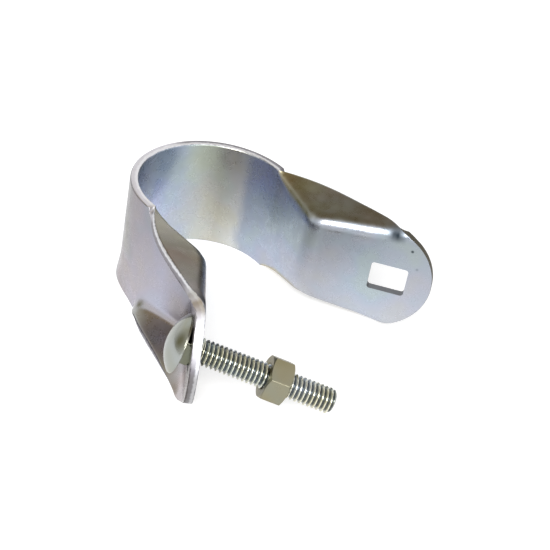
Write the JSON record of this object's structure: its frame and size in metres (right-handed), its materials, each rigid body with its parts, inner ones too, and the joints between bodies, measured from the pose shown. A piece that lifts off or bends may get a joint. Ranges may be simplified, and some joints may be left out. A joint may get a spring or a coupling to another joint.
{
  "type": "pipe stanchion hanger",
  "caption": "Pressed zinc plated strap that loops round a pipe, with flanged, flared ears, a carriage bolt hung loose in one ear and a hex nut on the bolt.",
  "frame": {"origin": "on the axis of the pipe that the loop holds, at the middle of the strap's width", "axes": "+Z along the pipe, up as the hanger stands on the edges of its strap; -Y out of the mouth between the ears; the ear at -X holds the bolt, the ear at +X is free"},
  "size_m": [0.0971, 0.1023, 0.0382],
  "materials": {
    "strap_zinc": "bright zinc plate, satin",
    "bolt_zinc": "bright zinc plate, satin",
    "nut_zinc": "zinc plate with a faint yellow tint"
  },
  "bodies": {
    "hanger": {"strap": "strap_zinc", "carriage_bolt": "bolt_zinc"},
    "nut": {"hex_nut": "nut_zinc"}
  },
  "joints": [
    {"name": "nut_turn", "type": "hinge", "parent": "hanger", "child": "nut", "pos_m": [-0.02001, -0.06128, -0.00721], "axis": [0.7302, -0.6214, -0.284], "continuous": true}
  ]
}
